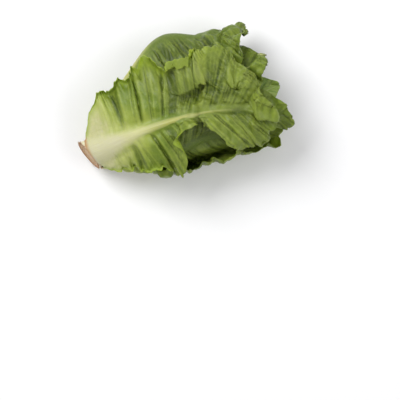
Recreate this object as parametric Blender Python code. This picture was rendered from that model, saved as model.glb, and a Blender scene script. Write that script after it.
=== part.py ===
"""Romaine heart lying on its side: a cut stem and sixteen leaves, each one closed solid.

The stem's axis runs along +X, from the cut butt to the leaf tips, and +Z is up. Angles round the axis are
measured from +Y towards +Z, so the leaf that lies on top is at 90 degrees. Leaves grow in a spiral, a golden
angle apart. Leaf 1 is the outermost and leaf 16 the innermost. Every leaf lies on a shell of its own round
the axis, so that each one is wrapped by the leaves outside it and none of them cross.
"""

import math

import bpy
import numpy as np

# The heart as a whole
LEAF_COUNT = 16
TOP_ANGLE = math.radians(90)
GOLDEN_ANGLE = math.radians(137.5)
SEED = 7
# How far the outermost shell reaches from the axis: one height for each of these places along the axis
PLACES = (0, 0.012, 0.03, 0.06, 0.1, 0.14, 0.19)
REACH_LEFT = list(zip(PLACES, (0.0182, 0.0228, 0.038, 0.057, 0.073, 0.071, 0.049)))
REACH_RIGHT = list(zip(PLACES, (0.0182, 0.0215, 0.03, 0.043, 0.05, 0.053, 0.05)))
REACH_UP = list(zip(PLACES, (0.0182, 0.0215, 0.029, 0.038, 0.043, 0.042, 0.036)))
REACH_DOWN = list(zip(PLACES, (0.0182, 0.0228, 0.037, 0.052, 0.06, 0.06, 0.052)))
BELLY = 0.036  # the surface that the heart lies on is this far below the axis
BELLY_ROUNDING = 7  # a higher power makes the belly flatter and its sides sharper
BELLY_STEEPEST = 0.02  # beside the heart the belly is read at no smaller sine than this
BUTT_DROP = 0.008  # the stem's end droops by this much
BUTT_DROP_LENGTH = 0.07
REST_DEPTH = 0.0016  # the lowest leaves are pressed flat by this much

# The stem
STEM_PROFILE = [
    (0, 0.0142),
    (0.004, 0.0141),
    (0.008, 0.0129),
    (0.014, 0.0104),
    (0.025, 0.0075),
    (0.05, 0.003),
]
STEM_RINGS = [0, 0.0015, 0.004, 0.006, 0.008, 0.011, 0.014, 0.019, 0.025, 0.034, 0.043, 0.0495]
STEM_TIP = 0.054
STEM_SIDES = 30
CUT_SLANT = math.tan(math.radians(17))  # the knife went through at a slant, sideways and upwards
CUT_TILT = math.tan(math.radians(12))
CUT_FADE = 0.011
CUT_BEVEL = 0.0006
CORE_RADIUS = 0.0022  # the hollow that the innermost leaf wraps

# The leaves
FIRST_ROOT = 0.0012
ROOT_STEP = 0.003
ROOT_GAP = 0.0005
ROOT_BLEND = 0.007  # a leaf leaves the stem's surface within this length
ROOT_BLEND_START = -0.3
BLADE = 0.0008
TIP_OUTERMOST = 0.172
TIP_INNERMOST = 0.148
TIP_SCATTER = 0.005
TIP_ROUNDING = 0.02
TIP_ROUNDINGS = {1: 0.01}  # on the side towards +Y
# Half the angle that a leaf covers, in degrees, from its root at 0 to its tip at 1
OUTLINE = [(0, 58), (0.05, 60), (0.1, 67), (0.17, 75), (0.35, 71), (0.6, 66), (0.8, 60), (0.92, 50), (1, 33)]
RIB_DEPTH = [(0, 0.003), (0.06, 0.0036), (0.15, 0.0036), (0.4, 0.0024), (0.7, 0.0012), (1, 0.0003)]
RIB_HALF_WIDTH = [(0, 0.0125), (0.1, 0.0115), (0.3, 0.007), (0.6, 0.0042), (1, 0.0025)]
RIB_SMALLEST = 0.45  # the innermost leaf's rib, as a share of the outermost one's
RIB_BEND_POWER = 4  # a higher power bends the rib nearer the tip
RIB_BEND_SCATTER = 12

# Waves: ruffles grow towards the edge and the tip, and pleats and a slow swell fill the blade
RUFFLE_HEIGHT = 0.0075
RUFFLE_LENGTH = 0.024
RUFFLE_LENGTH_SCATTER = (0.85, 1.2)
RUFFLE_LEAN = 0.0022
RUFFLE_STARTS = 0.42  # share of the half width
TIP_RUFFLE_STARTS = 0.8  # share of the length
RUFFLE_BASE, RUFFLE_MAIN, RUFFLE_SMALL = 0.5, 0.35, 0.15  # parts of a ruffle's height
SMALL_RUFFLE_RATE = 1.7
PLEAT_HEIGHT = 0.0016
PLEAT_LENGTH = 0.0165
SWELL_HEIGHT = 0.004
SWELL_LENGTH = 0.07
BLADE_STARTS, BLADE_FULL = 0.08, 0.4  # the blade's waves grow between these shares of the half width
ROOT_STIFF, ROOT_SOFT = 0.08, 0.3  # and between these shares of the length
EDGE_STIFF, EDGE_SOFT = 0.05, 0.2  # as the edge's ruffles do between these
UNDER_SHARE = 0.12  # how much of a wave is left on the side that the heart lies on
UNDER_FROM, UNDER_TO = -0.8, 0.1  # sines of the angles between which the waves grow
COVER_FAR = 0.015  # a leaf is free this far outside the leaf over it
COVER_NEAR = 0.002
VEIN_BACKWARD = -0.15  # veins near the root lean back by this slope, and those further on lean forward
VEIN_FAN = 7.0  # gain of that slope per metre along the leaf

# Fine division of the solids
ROWS_OUTER, COLUMNS_OUTER = 26, 12
ROWS_INNER, COLUMNS_INNER = 15, 8
OUTER_LEAVES = 8
COLUMN_CROWDING = 1.5  # columns are closer together near the rib
ROW_CROWDING = 1.15  # and rows are closer near the root
SHARP_ANGLE = math.radians(50)

GREEN_OUTER = (0.20, 0.31, 0.07)
GREEN_INNER = (0.50, 0.56, 0.22)
STEM_COLOUR = (0.62, 0.50, 0.33)
STEM_ROUGHNESS = 0.6
LEAF_ROUGHNESS = 0.45

# What one leaf has and the others don't: bends of the rib in degrees, tips, bulges as (place along the axis,
# angle, spread along, spread round, height), and tears as (side, place along the axis, half length, share of
# the half width taken, how far the torn edge leans over the gap), where a lobe has a share below 0
RIB_BENDS = {1: 44, 3: 4, 4: 6, 5: -6, 6: -6, 9: 0}
TIPS = {1: 0.17, 2: 0.178, 3: 0.175, 4: 0.185, 5: 0.17, 6: 0.182, 7: 0.178, 8: 0.174, 9: 0.184, 10: 0.17}
BULGES = {
    1: [(0.024, 24, 0.014, 24, 0.018), (0.118, 52, 0.025, 18, 0.009), (0.155, 135, 0.018, 20, 0.005)],
    3: [(0.1, 2, 0.036, 24, 0.013)],
    4: [(0.165, 150, 0.02, 25, 0.006), (0.104, 140, 0.018, 18, -0.005)],
    6: [(0.165, 40, 0.028, 26, 0.018)],
    7: [(0.16, 200, 0.03, 24, 0.006)],
    9: [(0.175, 110, 0.02, 24, 0.012)],
}
TEARS = {
    1: [
        (1, 0.045, 0.02, 0.2, 0),
        (1, 0.1005, 0.0235, 0.82, 0.004),
        (1, 0.152, 0.027, 0.28, 0),
        (-1, 0.158, 0.022, -0.33, 0),
    ],
}
TEAR_EDGE = 1.2  # the leaning edge is this many half lengths before the middle of the tear


def smooth_curve(points, at):
    """A smooth curve through (position, value) points, read at the given positions."""
    knots, values = np.array(points, float).T
    slopes = np.gradient(values, knots)
    at = np.clip(at, knots[0], knots[-1])
    i = np.clip(np.searchsorted(knots, at) - 1, 0, len(knots) - 2)
    width = knots[i + 1] - knots[i]
    t = (at - knots[i]) / width
    start = (1 + 2 * t) * (1 - t) ** 2 * values[i] + t * (1 - t) ** 2 * width * slopes[i]
    end = t * t * (3 - 2 * t) * values[i + 1] + t * t * (t - 1) * width * slopes[i + 1]
    return start + end


def ease(low, high, value):
    """0 below low, 1 above high, and a smooth step between."""
    t = np.clip((value - low) / (high - low), 0, 1)
    return t * t * (3 - 2 * t)


def hump(offset, spread):
    """1 where the offset is 0, fading to 0 on both sides."""
    return np.exp(-((offset / spread) ** 2))


def gap(offset, spread):
    """1 where the offset is well within the spread and 0 well outside it, with steep sides."""
    return np.exp(-((offset / spread) ** 4))


def turned(angle):
    """The angle brought to between minus and plus half a turn."""
    return (angle + math.pi) % (2 * math.pi) - math.pi


def axis_height(x):
    """Height of the heart's axis, which droops towards the butt."""
    return -BUTT_DROP * (1 - ease(0, BUTT_DROP_LENGTH, x))


def outer_reach(x, angle):
    """Distance from the axis to the outermost shell: an oval that is flattened where the heart lies."""
    across, up = np.cos(angle), np.sin(angle)
    side = np.where(across > 0, smooth_curve(REACH_LEFT, x), smooth_curve(REACH_RIGHT, x))
    height = np.where(up > 0, smooth_curve(REACH_UP, x), smooth_curve(REACH_DOWN, x))
    oval = 1 / np.sqrt((across / side) ** 2 + (up / height) ** 2)
    belly = (BELLY + axis_height(x)) / np.maximum(-up, BELLY_STEEPEST)
    return (oval**-BELLY_ROUNDING + belly**-BELLY_ROUNDING) ** (-1 / BELLY_ROUNDING)


def stem_radius(x):
    """Radius of the stem, and of the hollow beyond its tip."""
    return np.maximum(smooth_curve(STEM_PROFILE, x), CORE_RADIUS)


def cut_slanted(x, angle):
    """A place along the axis, shifted as near the butt everything follows the slanting cut."""
    slope = CUT_TILT * np.sin(angle) - CUT_SLANT * np.cos(angle)
    return x + slope * stem_radius(x) * np.clip(1 - x / CUT_FADE, 0, 1)


class Leaf:
    """One leaf's own sizes and the random numbers of its waves."""

    def __init__(self, number):
        draw = np.random.default_rng(SEED + number)
        self.number = number
        self.name = f"leaf_{number:02d}"
        self.angle = TOP_ANGLE + (number - 1) * GOLDEN_ANGLE
        self.root = FIRST_ROOT + (number - 1) * ROOT_STEP
        self.inward = (number - 1) / (LEAF_COUNT - 1)
        shorter = (TIP_OUTERMOST - TIP_INNERMOST) * self.inward
        own_tip = TIP_OUTERMOST - shorter + draw.uniform(-TIP_SCATTER, TIP_SCATTER)
        self.tip = TIPS.get(number, own_tip)
        own_bend = draw.uniform(-RIB_BEND_SCATTER, RIB_BEND_SCATTER)
        self.bend = math.radians(RIB_BENDS.get(number, own_bend))
        self.rib = 1 + (RIB_SMALLEST - 1) * self.inward
        self.phases = draw.uniform(0, 2 * math.pi, (2, 4))
        self.lengths = RUFFLE_LENGTH * draw.uniform(*RUFFLE_LENGTH_SCATTER, 2)

    def along(self, x):
        """Share of the leaf's length at a place along the axis: 0 at the root and 1 at the tip."""
        return np.clip((x - self.root) / (self.tip - self.root), 0, 1)

    def rib_angle(self, x):
        """Angle of the rib, which bends to one side towards the tip."""
        return self.angle + self.bend * self.along(x) ** RIB_BEND_POWER

    def half_angle(self, x, side):
        """Angle between the rib and the edge, on the side that side's sign gives."""
        angle = np.radians(smooth_curve(OUTLINE, self.along(x)))
        for way, place, reach, share, _ in TEARS.get(self.number, []):
            angle = np.where(side * way > 0, angle * (1 - share * gap(x - place, reach)), angle)
        return angle

    def leaning(self, x, v):
        """How far the edges of tears lean over the gap."""
        lean = np.zeros_like(x)
        for way, place, reach, _, most in TEARS.get(self.number, []):
            lean += most * hump(x - place + TEAR_EDGE * reach, reach) * np.where(v * way > 0, v * v, 0)
        return lean

    def bulging(self, x, angle):
        """Height of the bulges that stand this leaf off the others."""
        height = np.zeros_like(x)
        for place, centre, spread_along, spread_round, rise in BULGES.get(self.number, []):
            round_it = hump(turned(angle - math.radians(centre)), math.radians(spread_round))
            height += rise * hump(x - place, spread_along) * round_it
        return height


LEAVES = [Leaf(number) for number in range(1, LEAF_COUNT + 1)]


def covered_by(leaf, x, angle):
    """1 under the leaf, 0 well clear of it, and smooth between."""
    offset = turned(angle - leaf.rib_angle(x))
    beside = (leaf.half_angle(x, offset) - np.abs(offset)) * smooth_curve(REACH_LEFT, x)
    inside = np.minimum(beside, leaf.tip - x)
    return ease(-COVER_FAR, -COVER_NEAR, inside)


def freedom(leaf, x, angle):
    """1 where nothing lies over the leaf and 0 where another leaf does."""
    free = np.ones_like(x)
    for over in LEAVES[: leaf.number - 1]:
        free *= 1 - covered_by(over, x, angle)
    return free


def shell(leaf, x, angle):
    """Distance from the axis to the leaf's inner face, before its waves."""
    attached = np.clip((x - FIRST_ROOT) / ROOT_STEP + 1, 1, LEAF_COUNT + 1)
    inner = stem_radius(x) + ROOT_GAP
    share = np.maximum(1 - leaf.number / attached, 0)
    spread = (outer_reach(x, angle) - inner) * share
    return inner + spread * ease(ROOT_BLEND_START, 1, (x - leaf.root) / ROOT_BLEND)


def vein_place(leaf, x, sideways):
    """Where along the rib the vein through a point leaves it. Veins fan out from the root to the tip."""
    across = np.abs(sideways)
    return (x - leaf.root - across * VEIN_BACKWARD) / (1 + across * VEIN_FAN)


def waves(leaf, u, v, place):
    """Height of the leaf's ruffles, pleats and swell, and how far the ruffles lean along the axis."""
    phase = np.where(v > 0, leaf.phases[0][:, None, None], leaf.phases[1][:, None, None])
    length = np.where(v > 0, leaf.lengths[0], leaf.lengths[1])
    edge = np.maximum(ease(RUFFLE_STARTS, 1, np.abs(v)), ease(TIP_RUFFLE_STARTS, 1, u))
    turn = 2 * math.pi * place
    wave = turn / length + phase[0]
    ruffle = RUFFLE_BASE + RUFFLE_MAIN * np.sin(wave)
    ruffle = ruffle + RUFFLE_SMALL * np.sin(SMALL_RUFFLE_RATE * wave + phase[1])
    pleat = PLEAT_HEIGHT * (1 + np.sin(turn / PLEAT_LENGTH + phase[2])) / 2
    swell = SWELL_HEIGHT * (1 + np.sin(turn / SWELL_LENGTH + phase[3])) / 2
    blade = ease(BLADE_STARTS, BLADE_FULL, np.abs(v)) * ease(ROOT_STIFF, ROOT_SOFT, u)
    height = RUFFLE_HEIGHT * ruffle * edge * ease(EDGE_STIFF, EDGE_SOFT, u) + (pleat + swell) * blade
    return height, -RUFFLE_LEAN * np.cos(wave) * edge


def leaf_face(leaf, u, v):
    """The leaf's inner face and its thickness. u runs from root to tip, and v from edge to edge."""
    rounding = np.where(v < 0, TIP_ROUNDINGS.get(leaf.number, TIP_ROUNDING), TIP_ROUNDING)
    x = leaf.root + (leaf.tip - leaf.root) * u - rounding * v**2 * u**3
    angle = leaf.rib_angle(x) + v * leaf.half_angle(x, v)
    sideways = v * leaf.half_angle(x, v) * smooth_curve(REACH_UP, x)
    share = leaf.along(x)
    x = x + leaf.leaning(x, v)
    height, lean = waves(leaf, u, v, vein_place(leaf, x, sideways))
    under = UNDER_SHARE + (1 - UNDER_SHARE) * ease(UNDER_FROM, UNDER_TO, np.sin(angle))
    loose = freedom(leaf, x, angle) * under
    radius = shell(leaf, x, angle) + (leaf.bulging(x, angle) + height) * loose
    along = cut_slanted(x + lean * loose, angle)
    points = np.stack([along, radius * np.cos(angle), radius * np.sin(angle) + axis_height(x)], axis=-1)
    rib_width = smooth_curve(RIB_HALF_WIDTH, share) * leaf.rib
    rib = smooth_curve(RIB_DEPTH, share) * leaf.rib * np.maximum(1 - (sideways / rib_width) ** 2, 0)
    return points, BLADE + rib


def face_normals(points):
    """Unit normals of a grid of points, facing away from the heart's axis."""
    normals = np.cross(np.gradient(points, axis=1), np.gradient(points, axis=0))
    return normals / np.linalg.norm(normals, axis=-1, keepdims=True)


def leaf_faces(leaf, rows, columns):
    """The inner and the outer face of a leaf as two grids of points."""
    steps = np.linspace(-1, 1, columns + 1)
    across = np.sign(steps) * np.abs(steps) ** COLUMN_CROWDING
    u, v = np.meshgrid(np.linspace(0, 1, rows + 1) ** ROW_CROWDING, across, indexing="ij")
    inner, thickness = leaf_face(leaf, u, v)
    return inner, inner + face_normals(inner) * thickness[..., None]


def pressed(points, lowest):
    """Points with the lowest ones lifted, as by the surface that the heart lies on."""
    return np.concatenate([points[..., :2], np.maximum(points[..., 2:], lowest)], axis=-1)


def grid_solid(inner, outer):
    """A closed mesh from two faces and the wall round their edges, with the same triangles on both faces."""
    rows, columns = inner.shape[0], inner.shape[1]
    count = rows * columns
    index = np.arange(count).reshape(rows, columns)
    a, b, c, d = index[:-1, :-1], index[1:, :-1], index[1:, 1:], index[:-1, 1:]
    under = np.concatenate([np.stack(corners, -1).reshape(-1, 3) for corners in ((a, b, c), (a, c, d))])
    rim = np.concatenate([index[0, :-1], index[:-1, -1], index[-1, :0:-1], index[:0:-1, 0]])
    after = np.roll(rim, -1)
    wall = [np.stack([rim, after, rim + count], -1), np.stack([after, after + count, rim + count], -1)]
    faces = np.concatenate([under, under[:, ::-1] + count, *wall])
    return np.concatenate([inner.reshape(-1, 3), outer.reshape(-1, 3)]), faces


def stem_solid():
    """The stem: a turned cone with a slanting cut, closed at its tip."""
    angles = np.arange(STEM_SIDES) * 2 * math.pi / STEM_SIDES
    x, angle = np.meshgrid(STEM_RINGS, angles, indexing="ij")
    radius = smooth_curve(STEM_PROFILE, x)
    radius[0] -= CUT_BEVEL
    y, z = radius * np.cos(angle), radius * np.sin(angle)
    rings = np.stack([cut_slanted(x, angle), y, z + axis_height(x)], axis=-1).reshape(-1, 3)
    ends = [[0, 0, axis_height(0)], [STEM_TIP, 0, axis_height(STEM_TIP)]]
    faces = []
    for ring in range(len(STEM_RINGS) - 1):
        for side in range(STEM_SIDES):
            a, b = ring * STEM_SIDES + side, ring * STEM_SIDES + (side + 1) % STEM_SIDES
            faces += [(a, b, b + STEM_SIDES), (a, b + STEM_SIDES, a + STEM_SIDES)]
    butt, tip = len(rings), len(rings) + 1
    last = len(rings) - STEM_SIDES
    for side in range(STEM_SIDES):
        following = (side + 1) % STEM_SIDES
        faces += [(butt, following, side), (tip, last + side, last + following)]
    return np.concatenate([rings, ends]), np.array(faces)


def material(name, colour, roughness):
    """A plain Principled material."""
    made = bpy.data.materials.new(name)
    made.use_nodes = True
    shader = made.node_tree.nodes["Principled BSDF"]
    shader.inputs["Base Color"].default_value = (*colour, 1)
    shader.inputs["Roughness"].default_value = roughness
    shader.inputs["Metallic"].default_value = 0
    return made


def add_object(name, points, faces, look):
    """An object at the origin that holds one closed mesh, shaded smooth."""
    mesh = bpy.data.meshes.new(name)
    mesh.from_pydata(points.tolist(), [], faces.tolist())
    mesh.materials.append(look)
    mesh.shade_smooth()
    mesh.set_sharp_from_angle(angle=SHARP_ANGLE)
    bpy.context.collection.objects.link(bpy.data.objects.new(name, mesh))


def main():
    """Build every piece, and put the origin under the middle of the whole heart."""
    for old in list(bpy.data.objects):
        bpy.data.objects.remove(old)
    faces = []
    for leaf in LEAVES:
        outermost = leaf.number <= OUTER_LEAVES
        rows = ROWS_OUTER if outermost else ROWS_INNER
        columns = COLUMNS_OUTER if outermost else COLUMNS_INNER
        faces.append(leaf_faces(leaf, rows, columns))
    floor = min(outer[..., 2].min() for _, outer in faces) + REST_DEPTH
    solids = {"stem": stem_solid()}
    looks = {"stem": material("stem", STEM_COLOUR, STEM_ROUGHNESS)}
    for leaf, (inner, outer) in zip(LEAVES, faces):
        solids[leaf.name] = grid_solid(pressed(inner, floor + BLADE), pressed(outer, floor))
        colour = [a + (b - a) * leaf.inward for a, b in zip(GREEN_OUTER, GREEN_INNER)]
        looks[leaf.name] = material(leaf.name, colour, LEAF_ROUGHNESS)
    everything = np.concatenate([points for points, _ in solids.values()])
    low, high = everything.min(axis=0), everything.max(axis=0)
    origin = np.array([(low[0] + high[0]) / 2, (low[1] + high[1]) / 2, low[2]])
    for name, (points, triangles) in solids.items():
        add_object(name, points - origin, triangles, looks[name])


main()
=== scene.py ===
# %% [markdown]
# # A romaine heart lying on its side
# The heart is a short cut stem with sixteen leaves round it. The plain solids are loaded first. They say
# how large it is and where it lies. This lesson then grows a fine leaf in the place of each plain one.

# %% Load the plain solids
import math

import bpy
import numpy as np
from mathutils import Matrix, Vector


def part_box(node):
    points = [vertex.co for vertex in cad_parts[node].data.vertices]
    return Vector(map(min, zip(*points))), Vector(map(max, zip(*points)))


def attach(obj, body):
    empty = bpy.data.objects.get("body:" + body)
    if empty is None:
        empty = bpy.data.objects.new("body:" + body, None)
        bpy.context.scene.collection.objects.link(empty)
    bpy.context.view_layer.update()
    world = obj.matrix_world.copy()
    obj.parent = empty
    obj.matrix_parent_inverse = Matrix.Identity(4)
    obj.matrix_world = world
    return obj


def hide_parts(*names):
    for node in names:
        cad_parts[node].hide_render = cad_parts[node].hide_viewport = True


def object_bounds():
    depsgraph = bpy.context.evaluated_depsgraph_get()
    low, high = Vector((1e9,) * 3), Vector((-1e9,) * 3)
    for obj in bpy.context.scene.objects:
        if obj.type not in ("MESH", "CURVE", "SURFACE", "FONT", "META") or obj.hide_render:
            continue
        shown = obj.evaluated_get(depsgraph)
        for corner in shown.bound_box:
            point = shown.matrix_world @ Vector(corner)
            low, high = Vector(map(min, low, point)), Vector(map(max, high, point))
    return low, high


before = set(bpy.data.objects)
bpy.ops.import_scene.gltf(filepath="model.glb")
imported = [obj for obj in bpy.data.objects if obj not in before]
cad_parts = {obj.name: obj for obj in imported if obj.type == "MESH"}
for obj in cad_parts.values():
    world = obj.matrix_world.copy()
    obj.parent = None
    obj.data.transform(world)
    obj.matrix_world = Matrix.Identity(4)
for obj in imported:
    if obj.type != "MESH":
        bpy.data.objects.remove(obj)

CAD_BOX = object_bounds()
print("Plain heart, mm:", [round(side * 1000, 1) for side in CAD_BOX[1] - CAD_BOX[0]])

# %% [markdown]
# ## Smooth curves
# A leaf has no straight line in it. Each size along it is a short list of (place, value) points with a
# smooth curve through them, and each change from one state to another is an ease, soft at both ends.

# %% Curves, eases and humps
TURN = 2 * math.pi


def curve(points, at):
    """A smooth curve through (place, value) points, read at other places."""
    knots, values = np.array(points, float).T
    slopes = np.gradient(values, knots)
    at = np.clip(at, knots[0], knots[-1])
    i = np.clip(np.searchsorted(knots, at) - 1, 0, len(knots) - 2)
    width = knots[i + 1] - knots[i]
    t = (at - knots[i]) / width
    start = (1 + 2 * t) * (1 - t) ** 2 * values[i] + t * (1 - t) ** 2 * width * slopes[i]
    end = t * t * (3 - 2 * t) * values[i + 1] + t * t * (t - 1) * width * slopes[i + 1]
    return start + end


def ease(low, high, value):
    """0 below low, 1 above high, and a smooth step between."""
    t = np.clip((value - low) / (high - low), 0, 1)
    return t * t * (3 - 2 * t)


def hump(offset, spread):
    """1 where the offset is 0, fading to 0 on both sides."""
    return np.exp(-((offset / spread) ** 2))


def gap(offset, spread):
    """1 well within the spread and 0 well outside it, with steep sides."""
    return np.exp(-((offset / spread) ** 4))


def unit(wave):
    """A wave between -1 and 1, brought to between 0 and 1."""
    return 0.5 + 0.5 * wave


def at_least(least, share):
    """A share between 0 and 1, brought to between the least and 1."""
    return least + (1 - least) * share


def turned(angle):
    """The angle brought to between minus and plus half a turn."""
    return (angle + math.pi) % TURN - math.pi


print("An ease from 0 to 1 is", float(ease(0, 1, 0.25)), "a quarter of the way")

# %% [markdown]
# ## The heart's outer shell
# The leaves wrap each other, so the whole heart has one smooth outer shell, narrow at the butt and
# flattened where it lies. It is measured from the stem's axis, which runs along +X, at an angle from +Y
# towards +Z. The sizes are the plain solids' own, so a fine leaf comes out where its plain leaf is.

# %% The shell and the stem
PLACES = (0, 0.012, 0.03, 0.06, 0.1, 0.14, 0.19)
REACH_LEFT = list(zip(PLACES, (0.0182, 0.0228, 0.038, 0.057, 0.073, 0.071, 0.049)))
REACH_RIGHT = list(zip(PLACES, (0.0182, 0.0215, 0.03, 0.043, 0.05, 0.053, 0.05)))
REACH_UP = list(zip(PLACES, (0.0182, 0.0215, 0.029, 0.038, 0.043, 0.042, 0.036)))
REACH_DOWN = list(zip(PLACES, (0.0182, 0.0228, 0.037, 0.052, 0.06, 0.06, 0.052)))
BELLY = 0.036
BELLY_ROUNDING = 7
BELLY_STEEPEST = 0.02
BUTT_DROP = 0.008
BUTT_DROP_LENGTH = 0.07
STEM_PLACES = (0, 0.004, 0.008, 0.014, 0.025, 0.05)
STEM_PROFILE = list(zip(STEM_PLACES, (0.0142, 0.0141, 0.0129, 0.0104, 0.0075, 0.003)))
STEM_RINGS = [0, 0.0015, 0.004, 0.006, 0.008, 0.011, 0.014, 0.019, 0.025, 0.034, 0.043, 0.0495]
STEM_TIP = 0.054
STEM_SIDES = 30
CUT_SLANT = math.tan(math.radians(17))
CUT_TILT = math.tan(math.radians(12))
CUT_FADE = 0.011
CUT_BEVEL = 0.0006
CORE_RADIUS = 0.0022


def axis_height(x):
    """Height of the heart's axis, which droops towards the butt."""
    return -BUTT_DROP * (1 - ease(0, BUTT_DROP_LENGTH, x))


def round_axis(along, radius, angle, x):
    """Points at a radius and an angle round the axis at x."""
    return np.stack([along, radius * np.cos(angle), radius * np.sin(angle) + axis_height(x)], -1)


def outer_reach(x, angle):
    """Distance from the axis to the outer shell: an oval, flat where the heart lies."""
    across, up = np.cos(angle), np.sin(angle)
    side = np.where(across > 0, curve(REACH_LEFT, x), curve(REACH_RIGHT, x))
    height = np.where(up > 0, curve(REACH_UP, x), curve(REACH_DOWN, x))
    oval = 1 / np.sqrt((across / side) ** 2 + (up / height) ** 2)
    belly = (BELLY + axis_height(x)) / np.maximum(-up, BELLY_STEEPEST)
    return (oval**-BELLY_ROUNDING + belly**-BELLY_ROUNDING) ** (-1 / BELLY_ROUNDING)


def stem_radius(x):
    """Radius of the stem, and of the hollow beyond its tip."""
    return np.maximum(curve(STEM_PROFILE, x), CORE_RADIUS)


def cut_slope(angle):
    """How far the cut slants along the axis for each step outwards."""
    return CUT_TILT * np.sin(angle) - CUT_SLANT * np.cos(angle)


def cut_slanted(x, angle):
    """A place along the axis, shifted near the butt to follow the slanting cut."""
    return x + cut_slope(angle) * stem_radius(x) * np.clip(1 - x / CUT_FADE, 0, 1)


def stem_rings(rings, sides):
    """Points of the stem's side, one row a ring."""
    x, angle = np.meshgrid(rings, np.arange(sides) * TURN / sides, indexing="ij")
    radius = curve(STEM_PROFILE, x)
    radius[0] -= CUT_BEVEL
    return round_axis(cut_slanted(x, angle), radius, angle, x)


stem_low, stem_high = (np.array(corner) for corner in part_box("stem"))
lowest = stem_rings(STEM_RINGS, STEM_SIDES).reshape(-1, 3).min(axis=0)
ORIGIN = np.array([STEM_TIP - stem_high[0], lowest[1] - stem_low[1], lowest[2] - stem_low[2]])
FLOOR = ORIGIN[2]
print("The frame's origin from the stem's axis, mm:", np.round(ORIGIN * 1000, 2))

# %% [markdown]
# ## Where each leaf grows
# Leaves leave the stem in a spiral, a golden angle apart, which is 137.5 degrees. So no leaf sits
# straight over the one before it, and each is wrapped by those that grew earlier. Leaf 1 is the outermost
# and lies on top. The tears, bulges and bent ribs make this heart this one and not any other.

# %% One leaf's own sizes
LEAF_COUNT = 16
TOP_ANGLE = math.radians(90)
GOLDEN_ANGLE = math.radians(137.5)
SEED = 7
FIRST_ROOT = 0.0012
ROOT_STEP = 0.003
ROOT_GAP = 0.0005
ROOT_BLEND = 0.007
ROOT_BLEND_START = -0.3
TIP_OUTERMOST = 0.172
TIP_INNERMOST = 0.148
TIP_SCATTER = 0.005
TIP_ROUNDING = 0.02
TIP_ROUNDINGS = {1: 0.01}
OUTLINE = [(0, 58), (0.05, 60), (0.1, 67), (0.17, 75), (0.35, 71), (0.6, 66), (0.8, 60), (0.92, 50), (1, 33)]
RIB_DEPTH = [(0, 0.003), (0.06, 0.0036), (0.15, 0.0036), (0.4, 0.0024), (0.7, 0.0012), (1, 0.0003)]
RIB_HALF_WIDTH = [(0, 0.0125), (0.1, 0.0115), (0.3, 0.007), (0.6, 0.0042), (1, 0.0025)]
RIB_SMALLEST = 0.45
RIB_BEND_POWER = 4
RIB_BEND_SCATTER = 12
RUFFLE_LENGTH = 0.024
RUFFLE_LENGTH_SCATTER = (0.85, 1.2)
FINE_SEED = 40
# These are by leaf number, with angles in degrees. A bulge is its place, its angle, how far it spreads
# along and round, and its height. A tear is its side, its place, how far it reaches, the share of the half
# width that it takes, and how far its edge leans over it.
RIB_BENDS = {1: 44, 3: 4, 4: 6, 5: -6, 6: -6, 9: 0}
TIPS = {1: 0.17, 2: 0.178, 3: 0.175, 4: 0.185, 5: 0.17, 6: 0.182, 7: 0.178, 8: 0.174, 9: 0.184, 10: 0.17}
BULGES = {
    1: [(0.024, 24, 0.014, 24, 0.018), (0.118, 52, 0.025, 18, 0.009), (0.155, 135, 0.018, 20, 0.005)],
    3: [(0.1, 2, 0.036, 24, 0.013)],
    4: [(0.165, 150, 0.02, 25, 0.006), (0.104, 140, 0.018, 18, -0.005)],
    6: [(0.165, 40, 0.028, 26, 0.018)],
    7: [(0.16, 200, 0.03, 24, 0.006)],
    9: [(0.175, 110, 0.02, 24, 0.012)],
}
LEFT_TEARS = [(1, 0.045, 0.02, 0.2, 0), (1, 0.1005, 0.0235, 0.82, 0.004), (1, 0.152, 0.027, 0.28, 0)]
TEARS = {1: [*LEFT_TEARS, (-1, 0.158, 0.022, -0.33, 0)]}
TEAR_EDGE = 1.2


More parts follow.
